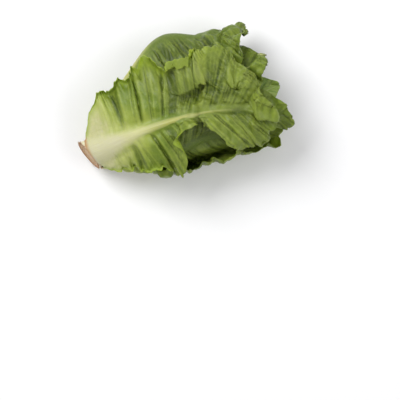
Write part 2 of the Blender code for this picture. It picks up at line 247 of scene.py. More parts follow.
class Leaf:
    """One leaf's own sizes and the random numbers of its waves."""

    def __init__(self, number):
        draw = np.random.default_rng(SEED + number)
        self.number = number
        self.name = f"leaf_{number:02d}"
        self.angle = TOP_ANGLE + (number - 1) * GOLDEN_ANGLE
        self.root = FIRST_ROOT + (number - 1) * ROOT_STEP
        inward = (number - 1) / (LEAF_COUNT - 1)
        own_tip = TIP_OUTERMOST - (TIP_OUTERMOST - TIP_INNERMOST) * inward
        own_tip = own_tip + draw.uniform(-TIP_SCATTER, TIP_SCATTER)
        self.tip = TIPS.get(number, own_tip)
        own_bend = draw.uniform(-RIB_BEND_SCATTER, RIB_BEND_SCATTER)
        self.bend = math.radians(RIB_BENDS.get(number, own_bend))
        self.rib = 1 + (RIB_SMALLEST - 1) * inward
        self.phases = draw.uniform(0, TURN, (2, 4))
        self.lengths = RUFFLE_LENGTH * draw.uniform(*RUFFLE_LENGTH_SCATTER, 2)
        self.fine_phases = np.random.default_rng(FINE_SEED + number).uniform(0, TURN, (2, 12))

    def along(self, x):
        """How far along the leaf a place is: 0 at the root and 1 at the tip."""
        return np.clip((x - self.root) / (self.tip - self.root), 0, 1)

    def rib_angle(self, x):
        """Angle of the rib, which bends to one side towards the tip."""
        return self.angle + self.bend * self.along(x) ** RIB_BEND_POWER

    def half_angle(self, x, side):
        """Angle from the rib to the edge on one side."""
        angle = np.radians(curve(OUTLINE, self.along(x)))
        for way, place, reach, share, _ in TEARS.get(self.number, []):
            angle = np.where(side * way > 0, angle * (1 - share * gap(x - place, reach)), angle)
        return angle

    def leaning(self, x, v):
        """How far the edges of tears lean over the gap."""
        lean = np.zeros_like(x)
        for way, place, reach, _, most in TEARS.get(self.number, []):
            lean += most * hump(x - place + TEAR_EDGE * reach, reach) * np.where(v * way > 0, v * v, 0)
        return lean

    def bulging(self, x, angle):
        """Height of the leaf's bulges."""
        height = np.zeros_like(x)
        for place, centre, spread_along, spread_round, rise in BULGES.get(self.number, []):
            round_it = hump(turned(angle - math.radians(centre)), math.radians(spread_round))
            height += rise * hump(x - place, spread_along) * round_it
        return height

    def by_side(self, v, *columns):
        """Random phases, which differ on the two sides of the rib."""
        left, right = self.fine_phases
        return [np.where(v > 0, left[column], right[column]) for column in columns]


LEAVES = [Leaf(number) for number in range(1, LEAF_COUNT + 1)]
print(len(LEAVES), "leaves, the longest", round(1000 * max(leaf.tip - leaf.root for leaf in LEAVES)), "mm")

# %% [markdown]
# ## Leaves that don't cross
# Each leaf lies on a shell of its own between the stem and the outer shell. Where it is covered it has to
# stay there, and where nothing covers it, it is free to bulge and to ruffle outwards. So one rule says how
# free a point is, and everything that lifts a leaf is multiplied by it.

# %% Shells and freedom
COVER_FAR = 0.015
COVER_NEAR = 0.002


def covered_by(leaf, x, angle):
    """1 under the leaf, 0 well clear of it, and smooth between."""
    offset = turned(angle - leaf.rib_angle(x))
    beside = (leaf.half_angle(x, offset) - abs(offset)) * curve(REACH_LEFT, x)
    return ease(-COVER_FAR, -COVER_NEAR, np.minimum(beside, leaf.tip - x))


def freedom(leaf, x, angle):
    """1 where nothing lies over the leaf and 0 where another leaf does."""
    free = np.ones_like(x)
    for over in LEAVES[: leaf.number - 1]:
        free *= 1 - covered_by(over, x, angle)
    return free


def shell(leaf, x, angle):
    """Distance from the axis to the leaf's own shell, and the room between two shells."""
    attached = np.clip((x - FIRST_ROOT) / ROOT_STEP + 1, 1, LEAF_COUNT + 1)
    inner = stem_radius(x) + ROOT_GAP
    share = np.maximum(1 - leaf.number / attached, 0)
    spread = (outer_reach(x, angle) - inner) * share
    room = (outer_reach(x, angle) - inner) / attached
    return inner + spread * ease(ROOT_BLEND_START, 1, (x - leaf.root) / ROOT_BLEND), room


middle = np.array([0.1])
middle_room = shell(LEAVES[0], middle, middle * 0)[1]
print("Room between two leaves half way along, mm:", np.round(middle_room * 1000, 1))

# %% [markdown]
# ## Broad waves
# A lettuce blade grows faster at its edge than along its rib, so the edge has more length than room and
# folds into ruffles. Veins fan out from the rib, and the blade buckles along them into pleats. These
# broad waves are the ones that the plain solids have too.

# %% Ruffles, pleats and swell
RUFFLE_HEIGHT = 0.0075
RUFFLE_LEAN = 0.0022
RUFFLE_STARTS = 0.42
RUFFLE_AT_TIP = 0.8
RUFFLE_BASE, RUFFLE_MAIN, RUFFLE_SMALL = 0.5, 0.35, 0.15
SMALL_RUFFLE_RATE = 1.7
PLEAT_HEIGHT = 0.0016
PLEAT_LENGTH = 0.0165
SWELL_HEIGHT = 0.004
SWELL_LENGTH = 0.07
BLADE_RANGE = (0.08, 0.4)
ROOT_RANGE = (0.08, 0.3)
EDGE_RANGE = (0.05, 0.2)
UNDER_SHARE = 0.12
UNDER_RANGE = (-0.8, 0.1)
VEIN_BACKWARD = -0.15
VEIN_FAN = 7.0


def vein_place(leaf, x, sideways):
    """Where the vein through a point leaves the rib. Veins fan out."""
    across = abs(sideways)
    return (x - leaf.root - across * VEIN_BACKWARD) / (1 + across * VEIN_FAN)


def waves(leaf, u, v, place):
    """Height of the ruffles, pleats and swell, and how far the ruffles lean."""
    phase = np.where(v > 0, leaf.phases[0][:, None, None], leaf.phases[1][:, None, None])
    length = np.where(v > 0, leaf.lengths[0], leaf.lengths[1])
    edge = np.maximum(ease(RUFFLE_STARTS, 1, abs(v)), ease(RUFFLE_AT_TIP, 1, u))
    turn = TURN * place
    wave = turn / length + phase[0]
    ruffle = RUFFLE_BASE + RUFFLE_MAIN * np.sin(wave)
    ruffle = ruffle + RUFFLE_SMALL * np.sin(SMALL_RUFFLE_RATE * wave + phase[1])
    pleat = PLEAT_HEIGHT * unit(np.sin(turn / PLEAT_LENGTH + phase[2]))
    swell = SWELL_HEIGHT * unit(np.sin(turn / SWELL_LENGTH + phase[3]))
    blade = ease(*BLADE_RANGE, abs(v)) * ease(*ROOT_RANGE, u)
    height = RUFFLE_HEIGHT * ruffle * edge * ease(*EDGE_RANGE, u) + (pleat + swell) * blade
    return height, -RUFFLE_LEAN * np.cos(wave) * edge


print("Ruffles are up to", RUFFLE_HEIGHT * 1000, "mm high and about", RUFFLE_LENGTH * 1000, "mm long")

# %% [markdown]
# ## Pleats, veins and frills
# A side vein leaves the rib every 8 mm or so. On the outside of the leaf the veins stand proud and the
# blade sinks between them, so pale crests have grooves between, which also get painted shade, and finer
# lines run along both. Near the edge each vein forks, and the edge is frilled. All of these are waves
# along the rib, read through the vein's place so that they follow the veins, with a slow wander that
# keeps them from looking machined.

# %% Fine relief
VEIN_SPACING = 0.0085
VEIN_WANDER = 0.45
WANDER_LENGTH = 0.034
WANDER_RATES = (1, 1.7, 2.9)
GROOVE_SHARPNESS = 1.3
GROOVE_MEAN, GROOVE_UNEVEN, UNEVEN_LENGTH = 0.62, 0.38, 2.3
LINE_SHARPNESS = 3
LINES_PER_VEIN = 3
FORKS = (0.6, 1.0)
FORK_DEPTH = 0.5
PLEAT_DEPTH = 0.0056
LINE_HEIGHT = 0.00035
PLEAT_ROOM = 0.8
PLEAT_LIFTED = 0.5
PLEAT_COVERED = 0.6
PLEAT_TORN = 0.3
PLEAT_TIP = 0.28
PLEAT_ENDS = (0.5, 0.72)
FRILL_LENGTH = 0.0125
FRILL_HEIGHT = 0.0026
FRILL_LEAN = 0.0012
FRILL_STARTS, FRILL_AT_TIP = 0.68, 0.9
FRILL_ROOTS = (0.04, 0.15)
FRILL_TIP = 0.3
FRILL_ENDS = (0.75, 0.9)
FRILL_DRIFT, FRILL_UNEVEN = 2.4, 0.5
SMALL_FRILL, SMALL_FRILL_RATE = 0.3, 2.3
CURD_LENGTH = 0.0052
CURD_HEIGHT = 0.0018
CURD_DRIFT, CURD_BEND, CURD_BENDS = 3, 2, 9
CURD_RANGE = (0.35, 0.7)
NOTCH_DEPTH = 0.05
NOTCH_LENGTH = 0.03
NICK_DEPTH = 0.035
NICK_LENGTH = 0.009


def wander(at, length, phases):
    """A slow irregular wave between about -1 and 1."""
    total = sum(np.sin(TURN * at * rate / length + phase) for rate, phase in zip(WANDER_RATES, phases))
    return total / len(WANDER_RATES)


def side_veins(leaf, v, place):
    """0 on a side vein's crest and 1 in the groove between two, how deep it is, and the lines along it."""
    beat = place / VEIN_SPACING + VEIN_WANDER * wander(place, WANDER_LENGTH, leaf.by_side(v, 0, 1, 2))
    start, uneven, lines = leaf.by_side(v, 3, 4, 8)
    turn = TURN * beat + start
    groove = unit(-np.cos(turn)) ** GROOVE_SHARPNESS
    forked = FORK_DEPTH * ease(*FORKS, abs(v)) * unit(np.cos(turn)) ** (2 * GROOVE_SHARPNESS)
    deep = GROOVE_MEAN + GROOVE_UNEVEN * np.sin(turn / UNEVEN_LENGTH + uneven)
    return groove + forked, deep, unit(np.cos(LINES_PER_VEIN * turn + lines)) ** LINE_SHARPNESS


def frills(leaf, u, v, place):
    """Height and lean of the frilled edge."""
    across = abs(v)
    edge = np.maximum(ease(FRILL_STARTS, 1, across), ease(FRILL_AT_TIP, 1, u))
    edge = edge * ease(*FRILL_ROOTS, u) * (1 - (1 - FRILL_TIP) * ease(*FRILL_ENDS, u))
    drift = wander(place, 2 * WANDER_LENGTH, leaf.by_side(v, 5, 6, 7))
    bent, uneven = leaf.by_side(v, 4, 8)
    turn = TURN * place / FRILL_LENGTH + FRILL_DRIFT * drift
    height = 2 * np.sqrt(unit(np.sin(turn))) - 1
    height = height + SMALL_FRILL * edge * np.sin(SMALL_FRILL_RATE * turn + uneven)
    small = TURN * place / CURD_LENGTH + CURD_DRIFT * drift
    small = small + CURD_BEND * np.sin(CURD_BENDS * across + bent)
    curds = CURD_HEIGHT * np.sin(small) * (1 - ease(*CURD_RANGE, u))
    height = FRILL_HEIGHT * (1 + FRILL_UNEVEN * drift) * height + curds
    return edge * height, FRILL_LEAN * edge * np.cos(turn)


print("About", round(0.17 / VEIN_SPACING), "side veins on each side of the longest rib")

# %% [markdown]
# ## Creases and curled edges
# A leaf that has been packed tight cracks across its veins, and one side slides over the other. That is a
# step with a steep front, which leans over its own foot and fades away behind. Where the crack gapes, the
# raised side splits open in a wedge with a fold beside it. Elsewhere an edge rolls back on itself. The
# strip along it is wound onto an arc, so it keeps its width as a real leaf does. A torn corner folds back
# the same way.

# %% Steps and rolls
# These too are by leaf number. A crease is its path of (place, angle), its higher side, its height and how
# far it reaches back. A split is the places of its point and of the two ends of its base, the angles of
# point and base, and its fold's height. A curl is its side, its place, its half length, the share of the
# half width that is rolled and how far round. A flap is where it starts to fold back, how tightly, the
# angles between which it comes loose, and the place where the torn corner ends.
CREASES = {
    1: [
        (((0.088, 62), (0.1, 62), (0.114, 62), (0.122, 64), (0.136, 73), (0.154, 80)), -1, 0.0028, 0.012),
        (((0.126, 98), (0.147, 110), (0.16, 122), (0.178, 138)), -1, 0.0045, 0.018),
    ],
}
CREASE_FRONT = 0.0011
CREASE_LEAN = 0.007
LEAN_REACH = 0.006
CREASE_FOOT = 0.0065
FOOT_REACH = 0.006
# The painted shade under each crease's lip: its strength, where it sits and how far it reaches.
CREASE_SHADE, SHADE_PLACE, SHADE_REACH = 1.6, 1.25, 1.1
CREASE_END = 0.011
SPLITS = {1: [(0.132, 0.119, 0.1405, 38, 67, 0.0045)]}
SPLIT_FLANK = 0.0022
SPLIT_TOP, SPLIT_BASE = (0, 0.2), (1, 1.4)
SPLIT_LIFTED = (-0.001, 0.0005)
FOLD_WIDTH = 0.0045
FOLD_RANGE = (-0.6, -0.1)
POCKET_DEPTH = 0.005
POCKET_PLACE, POCKET_REACH = (1.5, 1.2), (1.8, 0.4)
SPLIT_CALM = 0.6
CURLS = {
    1: [(-1, 0.1, 0.022, 0.3, 200), (-1, 0.045, 0.034, 0.18, 165), (1, 0.04, 0.024, 0.12, 130)],
    3: [(1, 0.16, 0.02, 0.14, 140)],
}
CURL_TAPER = 0.35
# CURL_SHOWN sets how far round a roll must turn to get painted light.
CURL_SHOWN = (0.2, 1.2)
LEAST_TURN = 0.01
FLAPS = {1: [(0.078, 0.0026, 104, 116, 0.1)]}


def creased(leaf, x, angle, reach):
    """Height of the creases, how far each leans, and the painted shade under them and in the splits."""
    height, lean, split_and_shade = np.zeros_like(x), np.zeros_like(x), np.zeros_like(x)
    for path, side, rise, fade in CREASES.get(leaf.number, []):
        start, end = path[0][0], path[-1][0]
        behind = side * turned(angle - np.radians(curve(path, x))) * reach
        along = ease(start, start + CREASE_END, x) * (1 - ease(end - CREASE_END, end, x))
        lip = along * ease(-CREASE_FRONT, CREASE_FRONT, behind)
        height += rise * lip * np.exp(-np.maximum(behind, 0) / fade)
        height -= CREASE_FOOT * along * hump(behind + FOOT_REACH, FOOT_REACH)
        # Painted shade under the lip.
        split_and_shade += CREASE_SHADE * along * hump(behind + SHADE_PLACE * FOOT_REACH, SHADE_REACH * FOOT_REACH)
        lean -= side * CREASE_LEAN * lip * hump(behind, LEAN_REACH)
    for point, low_end, high_end, point_angle, base_angle, fold in SPLITS.get(leaf.number, []):
        down = (np.degrees(turned(angle)) - point_angle) / (base_angle - point_angle)
        low, high = point + (low_end - point) * down, point + (high_end - point) * down
        wedge = ease(0, SPLIT_FLANK, x - low) * ease(0, SPLIT_FLANK, high - x)
        ridge = hump(x - low + FOLD_WIDTH, FOLD_WIDTH) * ease(*FOLD_RANGE, down)
        pocket = hump(x - low_end + POCKET_PLACE[0] * FOLD_WIDTH, POCKET_REACH[0] * FOLD_WIDTH)
        pocket = pocket * hump(down - POCKET_PLACE[1], POCKET_REACH[1])
        raised = fold * ridge * ease(*SPLIT_LIFTED, height)
        height = height * (1 - wedge) + raised - POCKET_DEPTH * pocket
        lean = lean * (1 - wedge)
        # The wedge and the pocket get painted shade.
        split_and_shade = split_and_shade + wedge * ease(*SPLIT_TOP, down) * (1 - ease(*SPLIT_BASE, down)) + pocket
    return height, lean / reach, split_and_shade


def curled(leaf, x, v, half, reach):
    """Angle from the rib once edges are rolled, the rolls' height, and painted light that grows as they roll.
    """
    offset, height, painted_roll_light = abs(v) * half, np.zeros_like(x), np.zeros_like(x)
    for way, place, length, share, turn in CURLS.get(leaf.number, []):
        window = gap(x - place, length) * (v * way > 0)
        share = share * at_least(CURL_TAPER, window)
        strip = share * half * reach
        across = np.clip((abs(v) - 1 + share) / share, 0, 1)
        turn = np.maximum(math.radians(turn) * window, LEAST_TURN)
        arc = strip / turn
        offset += (arc * np.sin(turn * across) - strip * across) / reach
        height += arc * (1 - np.cos(turn * across))
        painted_roll_light += ease(*CURL_SHOWN, turn * across)
    return np.sign(v) * offset, height, painted_roll_light


def flapped(leaf, x, angle):
    """How far a torn corner is drawn back and lifted as it folds over the blade."""
    back, height = np.zeros_like(x), np.zeros_like(x)
    for start, radius, fixed, loose, end in FLAPS.get(leaf.number, []):
        strip = np.maximum(x - start, 0) * ease(fixed, loose, np.degrees(turned(angle))) * (x < end)
        bent = np.minimum(strip, math.pi * radius)
        back += 2 * strip - bent - radius * np.sin(bent / radius)
        height += radius * (1 - np.cos(bent / radius))
    return back, height


print(sum(map(len, CREASES.values())), "creases and", sum(map(len, CURLS.values())), "curled edges")
print(sum(map(len, SPLITS.values())), "split and", sum(map(len, FLAPS.values())), "folded corner")

# %% [markdown]
# ## One leaf as a grid
# A leaf is a grid of points, from root to tip and from edge to edge. The inner face is laid on the shell
# and waved, and the outer face follows it at the blade's thickness, with the rib raised on it. What the
# finish needs to know is kept at each point: how green it is, whether it is on a vein, on the rib or near
# the edge, how much painted light it gets where an edge is rolled, and how much painted shade it gets in
# a furrow or under a crease.

# %% The two faces of a leaf
BLADE = 0.0006
EDGE_BLADE = 0.00035
COLUMN_CROWDING = 1.12
ROW_CROWDING = 1.05
RIB_FOOT = 1.5
RIB_SHOWN = [(0, 1.3), (0.15, 1.1), (0.3, 0.85), (0.6, 0.55), (0.8, 0.4), (1, 0.2)]
# RIB_FADES: leaf 1's is painted shade, a dark line under the tip's lip, and leaf 4's in the hollow.
RIB_FADES = {1: (0.62, 0.86), 3: (0.35, 0.6), 4: (0.1, 0.3)}
RELIEF_SIDE, RELIEF_ROOT = (0.04, 0.2), (0.05, 0.2)
GREEN_ACROSS = 0.85
GREEN_RANGE = (0.028, 0.11)
GREENEST = 0.8
# GREENER: leaf 4's is painted shade in the hollow under leaf 1; the others are leaves of darker green.
GREENER = {3: 0.3, 4: 0.7, 6: 0.3, 7: 0.2, 9: 0.3}
CUT_END_LENGTH = 0.006
CUT_END_RANGE = (0.2, 1)
PATTERN_STEP = 0.1
# Strengths of the painted shade in the pleat grooves, and in the splits and under the creases.
GROOVE_PAINTED_SHADE = 1.25
SPLIT_PAINTED_SHADE = 0.6
EDGE_STARTS = 0.75
# FLAP_SHOWN sets how high the folded corner must lift to get painted light.
FLAP_SHOWN = (0.001, 0.004)
SOFT_ROOT, SOFT_COVERED, SOFT_RANGE = 0.35, 0.45, (0.35, 0.7)
CRUMPLE_SIDE, CRUMPLE_TIP, CRUMPLE_RANGE = (0.05, 0.3), (0.55, 0.75), (0.3, 0.65)


def leaf_grid(leaf, rows, columns):
    """A leaf's inner and outer face, and what its finish and blisters need at each point."""
    steps = np.linspace(-1, 1, columns + 1)
    steps = np.sign(steps) * abs(steps) ** COLUMN_CROWDING
    u, v = np.meshgrid(np.linspace(0, 1, rows + 1) ** ROW_CROWDING, steps, indexing="ij")
    across = abs(v)
    rounding = np.where(v < 0, TIP_ROUNDINGS.get(leaf.number, TIP_ROUNDING), TIP_ROUNDING)
    x = leaf.root + (leaf.tip - leaf.root) * u - rounding * v**2 * u**3
    half = leaf.half_angle(x, v)
    phases = leaf.by_side(v, 9, 10, 11)
    for cut, length, starts in ((NOTCH_DEPTH, NOTCH_LENGTH, phases), (NICK_DEPTH, NICK_LENGTH, phases[::-1])):
        half = half * (1 - cut * unit(wander(u * leaf.tip, length, starts)))
    sideways = v * half * curve(REACH_UP, x)
    share = leaf.along(x)
    reach, room = shell(leaf, x, leaf.rib_angle(x) + v * half)
    offset, roll, painted_roll_light = curled(leaf, x, v, half, reach)
    angle = leaf.rib_angle(x) + offset
    x = x + leaf.leaning(x, v)
    place = vein_place(leaf, x, sideways)
    height, lean = waves(leaf, u, v, place)
    frill_height, frill_lean = frills(leaf, u, v, place)
    groove, deep, line = side_veins(leaf, v, place)
    loose = freedom(leaf, x, angle) * at_least(UNDER_SHARE, ease(*UNDER_RANGE, np.sin(angle)))
    step, step_lean, split_and_shade = creased(leaf, x, angle, reach)
    back, flap = flapped(leaf, x, angle)
    angle = angle + step_lean * loose
    torn = np.gradient(half * reach, axis=0) / np.gradient(x, axis=0)
    calm = 1 / (1 + torn**2)
    rib_width = curve(RIB_HALF_WIDTH, share) * leaf.rib
    rib = np.maximum(1 - (sideways / (RIB_FOOT * rib_width)) ** 2, 0) ** 2
    blade = ease(*RELIEF_SIDE, across) * ease(*RELIEF_ROOT, u) * (1 - rib)
    lifted = (leaf.bulging(x, angle) + height + frill_height * calm + roll + step + flap) * loose
    depth = np.minimum(PLEAT_DEPTH, PLEAT_ROOM * room + PLEAT_LIFTED * np.maximum(lifted, 0))
    depth = depth * at_least(PLEAT_COVERED, loose) * (1 - (1 - PLEAT_TIP) * ease(*PLEAT_ENDS, u))
    depth = depth * blade * (1 - SPLIT_CALM * np.clip(split_and_shade, 0, 1)) * at_least(PLEAT_TORN, calm)
    radius = shell(leaf, x, angle)[0] + lifted + LINE_HEIGHT * line * blade - depth * groove * deep
    along = cut_slanted(x + (lean + frill_lean * calm - back) * loose, angle)
    inner = round_axis(along, radius, angle, x)
    outward = np.cross(np.gradient(inner, axis=1), np.gradient(inner, axis=0))
    outward = outward / np.linalg.norm(outward, axis=-1, keepdims=True)
    rib_shown = np.maximum(1 - (sideways / rib_width / curve(RIB_SHOWN, share)) ** 2, 0)
    edge = ease(EDGE_STARTS, 1, np.maximum(across, u))
    thickness = BLADE + (EDGE_BLADE - BLADE) * edge + curve(RIB_DEPTH, share) * leaf.rib * rib
    outer = inner + outward * thickness[..., None]
    green = ease(*GREEN_RANGE, GREEN_ACROSS * abs(sideways) + (x - leaf.root))
    crumple = np.maximum(ease(*CRUMPLE_SIDE, across), ease(*CRUMPLE_TIP, u))
    own_pattern = np.full_like(x, PATTERN_STEP * leaf.number)
    marks = {
        "greenness": GREENEST * green + GREENER.get(leaf.number, 0),
        "vein": line * blade,
        "rib": rib_shown * (1 - ease(*RIB_FADES.get(leaf.number, (1, 2)), share)),
        "edge": edge,
        # Painted light on the rolled edges and the folded corner.
        "painted_roll_light": painted_roll_light + ease(*FLAP_SHOWN, flap),
        # Painted shade in the pleat grooves, under the creases' lips, and in the split and its pocket.
        "painted_shade": np.clip(np.maximum(GROOVE_PAINTED_SHADE * groove * deep * blade, SPLIT_PAINTED_SHADE * split_and_shade), 0, 1),
        "cut_end": 1 - ease(*CUT_END_RANGE, (x - leaf.root) / CUT_END_LENGTH),
        "softness": blade * at_least(SOFT_ROOT, ease(*SOFT_RANGE, u)) * at_least(SOFT_COVERED, loose),
        "crumple": crumple * ease(*CRUMPLE_RANGE, u) * loose,
        "leaf_place": np.stack([sideways, x - leaf.root, own_pattern], -1),
        "outward": outward,
    }
    return inner, outer, marks


def closed_faces(rows, columns):
    """Triangles of two grids and of the wall round their edges."""
    count = rows * columns
    index = np.arange(count).reshape(rows, columns)
    a, b, c, d = index[:-1, :-1], index[1:, :-1], index[1:, 1:], index[:-1, 1:]
    under = np.concatenate([np.stack(corners, -1).reshape(-1, 3) for corners in ((a, b, c), (a, c, d))])
    rim = np.concatenate([index[0, :-1], index[:-1, -1], index[-1, :0:-1], index[:0:-1, 0]])
    after = np.roll(rim, -1)
    wall = [np.stack([rim, after, rim + count], -1), np.stack([after, after + count, rim + count], -1)]
    return np.concatenate([under, under[:, ::-1] + count, *wall])


def in_scene(name, data):
    """A new object in the scene."""
    made = bpy.data.objects.new(name, data)
    bpy.context.scene.collection.objects.link(made)
    return made


def mesh_object(name, points, faces, marks):
    """A mesh whose object is at the origin, with named numbers or vectors at each point."""
    mesh = bpy.data.meshes.new(name)
    mesh.from_pydata((points - ORIGIN).tolist(), [], faces)
    for title, values in marks.items():
        kind, field = ("FLOAT_VECTOR", "vector") if values.ndim > 1 else ("FLOAT", "value")
        data = mesh.attributes.new(title, kind, "POINT").data
        data.foreach_set(field, values.astype(np.float32).ravel())
    return in_scene(name, mesh)


def leaf_object(leaf, rows, columns):
    """The whole leaf as one closed mesh, pressed flat where it meets the floor."""
    inner, outer, marks = leaf_grid(leaf, rows, columns)
    floor = np.array([-np.inf, -np.inf, FLOOR])
    points = np.concatenate([np.maximum(inner, floor + (0, 0, BLADE)), np.maximum(outer, floor)])
    marks = {title: np.concatenate([at, at]).reshape(-1, *at.shape[2:]) for title, at in marks.items()}
    faces = closed_faces(*inner.shape[:2]).tolist()
    return mesh_object(f"fine_{leaf.name}", points.reshape(-1, 3), faces, marks)


print("A blade is", BLADE * 1000, "mm thick and", EDGE_BLADE * 1000, "mm at its edge")

# %% [markdown]
# ## Wiring helpers
# A material and a Geometry Nodes tree are both made of wired nodes. A few short helpers add a node and
# wire it, so that the recipes below read as lists of steps. A socket knows its tree, so most need no more.

# %% Nodes and wires


def wire_up(tree, made, wires):
    """Give each input of a node a value or a wire."""
    for socket, value in wires.items():
        if isinstance(value, bpy.types.NodeSocket):
            tree.links.new(value, made.inputs[socket])
        elif value is not None:
            made.inputs[socket].default_value = value


def add_node(tree, kind, wires, output=0, **settings):
    """Add a node with its settings and wires, and give back one output."""
    made = tree.nodes.new(kind)
    for title, value in settings.items():
        setattr(made, title, value)
    wire_up(tree, made, wires)
    return made.outputs[output]


def reckon(kind, first, second=None, third=None):
    """One step of arithmetic."""
    return add_node(first.id_data, "ShaderNodeMath", {0: first, 1: second, 2: third}, operation=kind)


def weighed(*parts):
    """The sum of (value, weight) pairs."""
    total = 0.0
    for value, weight in parts:
        total = reckon("MULTIPLY_ADD", value, weight, total)
    return total


def moved(kind, place, by):
    """A place with another added to it, or drawn out by it."""
    return add_node(place.id_data, "ShaderNodeVectorMath", {0: place, 1: by}, operation=kind)


def scaled(way, size):
    """A way times a size."""
    return add_node(way.id_data, "ShaderNodeVectorMath", {0: way, "Scale": size}, operation="SCALE")


def between(value, low, high, to_low=0.0, to_high=1.0):
    """A smooth step from one number to another as a value goes from low to high."""
    wires = {"Value": value, "From Min": low, "From Max": high, "To Min": to_low, "To Max": to_high}
    return add_node(value.id_data, "ShaderNodeMapRange", wires, interpolation_type="SMOOTHSTEP")


def noise_on(place, scale, detail=2.0, stretch=(1, 1, 1), output=0, distortion=0.0):
    """A soft noise on a place that is drawn out by the stretch."""
    place = moved("MULTIPLY", place, stretch)
    wires = {"Vector": place, "Scale": scale, "Detail": detail, "Distortion": distortion}
    return add_node(place.id_data, "ShaderNodeTexNoise", wires, output)


def cells_on(place, scale, kind):
    """A pattern of cells on a place."""
    return add_node(place.id_data, "ShaderNodeTexVoronoi", {"Vector": place, "Scale": scale}, feature=kind)


print("Helpers ready")

# %% [markdown]
# ## Blisters
# Between its finest veins a lettuce blade puffs up in small blisters, because it grows faster than the
# veins that hold it. They cover the whole surface and follow no line, so Geometry Nodes make them: a soft
# noise for the broad blisters and a cell pattern for the small ones. Both are read on the leaf's own
# place, so they don't slide through it, and both faces move together, so the blade keeps its thickness.

# %% The blister tree
FOLD_DISTORTION, FOLD_BREADTH = 0.6, 0.16


def tree_with_inputs(name, sizes, seed):
    """A Geometry Nodes tree with inputs for sizes, a seed and a material."""
    tree = bpy.data.node_groups.new(name, "GeometryNodeTree")
    tree.is_modifier = True
    tree.interface.new_socket("Geometry", in_out="OUTPUT", socket_type="NodeSocketGeometry")
    sockets = {"Geometry": "Geometry", **dict.fromkeys(sizes, "Float"), "Seed": seed, "Material": "Material"}
    for title, kind in sockets.items():
        tree.interface.new_socket(title, in_out="INPUT", socket_type=f"NodeSocket{kind}")
    return tree, tree.nodes.new("NodeGroupInput").outputs


def end_tree(tree, geometry, material):
    """Make instances real, give everything its material and send it out."""
    real = add_node(tree, "GeometryNodeRealizeInstances", {"Geometry": geometry})
    finished = add_node(tree, "GeometryNodeSetMaterial", {"Geometry": real, "Material": material})
    wire_up(tree, tree.nodes.new("NodeGroupOutput"), {"Geometry": finished})


def stored(tree, title, kind):
    """A named attribute of the mesh."""
    return add_node(tree, "GeometryNodeInputNamedAttribute", {"Name": title}, data_type=kind)


def lift(pattern, height, weight):
    """How far a pattern between 0 and 1 moves a point: half inwards and half outwards."""
    centred = reckon("SUBTRACT", pattern, 0.5)
    return reckon("MULTIPLY", reckon("MULTIPLY", centred, height), stored(pattern.id_data, weight, "FLOAT"))


def blister_tree():
    """Move a leaf's points in and out by folds, a soft noise and a cell pattern."""
    sizes = ["Fold Height", "Folds per Metre", "Blister Height", "Blisters per Metre", "Cell Depth"]
    tree, given = tree_with_inputs("leaf blisters", [*sizes, "Cells per Metre"], "Float")
    place = moved("ADD", stored(tree, "leaf_place", "FLOAT_VECTOR"), given["Seed"])
    broad = noise_on(place, given["Folds per Metre"], 1.0, distortion=FOLD_DISTORTION)
    away = reckon("ABSOLUTE", reckon("SUBTRACT", broad, 0.5))
    folds = between(away, 0.0, FOLD_BREADTH, 1.0, 0.0)
    noise = noise_on(place, given["Blisters per Metre"], 1.0)
    cells = cells_on(place, given["Cells per Metre"], "SMOOTH_F1")
    height = lift(folds, given["Fold Height"], "crumple")
    height = reckon("ADD", height, lift(noise, given["Blister Height"], "softness"))
    height = reckon("ADD", height, lift(cells, given["Cell Depth"], "softness"))
    offset = scaled(stored(tree, "outward", "FLOAT_VECTOR"), height)
    wires = {"Geometry": given["Geometry"], "Offset": offset}
    end_tree(tree, add_node(tree, "GeometryNodeSetPosition", wires), given["Material"])
    return tree


def grown(made, tree, values):
    """Run a tree on an object and keep the result as its plain mesh."""
    modifier = made.modifiers.new("grow", "NODES")
    modifier.node_group = tree
    for item in tree.interface.items_tree:
        if item.in_out == "INPUT" and item.name in values:
            modifier[item.identifier] = values[item.name]
    graph = bpy.context.evaluated_depsgraph_get()
    graph.update()
    mesh = bpy.data.meshes.new_from_object(made.evaluated_get(graph))
    made.modifiers.remove(modifier)
    made.data = mesh
    made.data.shade_smooth()


BLISTER_TREE = blister_tree()
BLISTERS = {"Blister Height": 0.0046, "Blisters per Metre": 130.0, "Folds per Metre": 40.0}
BLISTERS = {**BLISTERS, "Cell Depth": 0.002, "Cells per Metre": 150.0}
print("The blister tree has", len(BLISTER_TREE.nodes), "nodes")

# %% [markdown]
# ## The leaf's finish
# A romaine leaf runs from a creamy rib through yellow-green to a full green at its edge. Pale veins net
# the blade, and the skin has a waxy gloss. The furrows and the feet of the creases get painted shade,
# and the rolled edges get painted light. Light goes through the thin blade, so some of it is scattered
# under the surface. The recipe reads what was kept at each point, and adds what is too fine for the mesh:
# the vein net, the rib's long fibres, and small changes of colour and shine.

# %% Leaf material
# Scales are per metre. A net is its scale and the width of its lines.
PATCHES, NET_BENDS, RIB_FIBRES, GRAIN = 45.0, 160.0, 60.0, 1500.0
COARSE_NET, FINE_NET = (210.0, 0.09), (620.0, 0.12)
FINE_SHOWN, COARSE_SHOWN, VEIN_SHOWN = 0.1, 0.14, 0.4
NET_BEND = 0.003
FIBRE_STRETCH = (18, 0.8, 1)
FIBRE_COLOUR, BROWN = (0.66, 0.66, 0.40), (0.42, 0.22, 0.09)


def attribute(tree, title, output="Fac"):
    """A number, or with output Vector a place, that was kept at each point."""
    return add_node(tree, "ShaderNodeAttribute", {}, output, attribute_name=title)


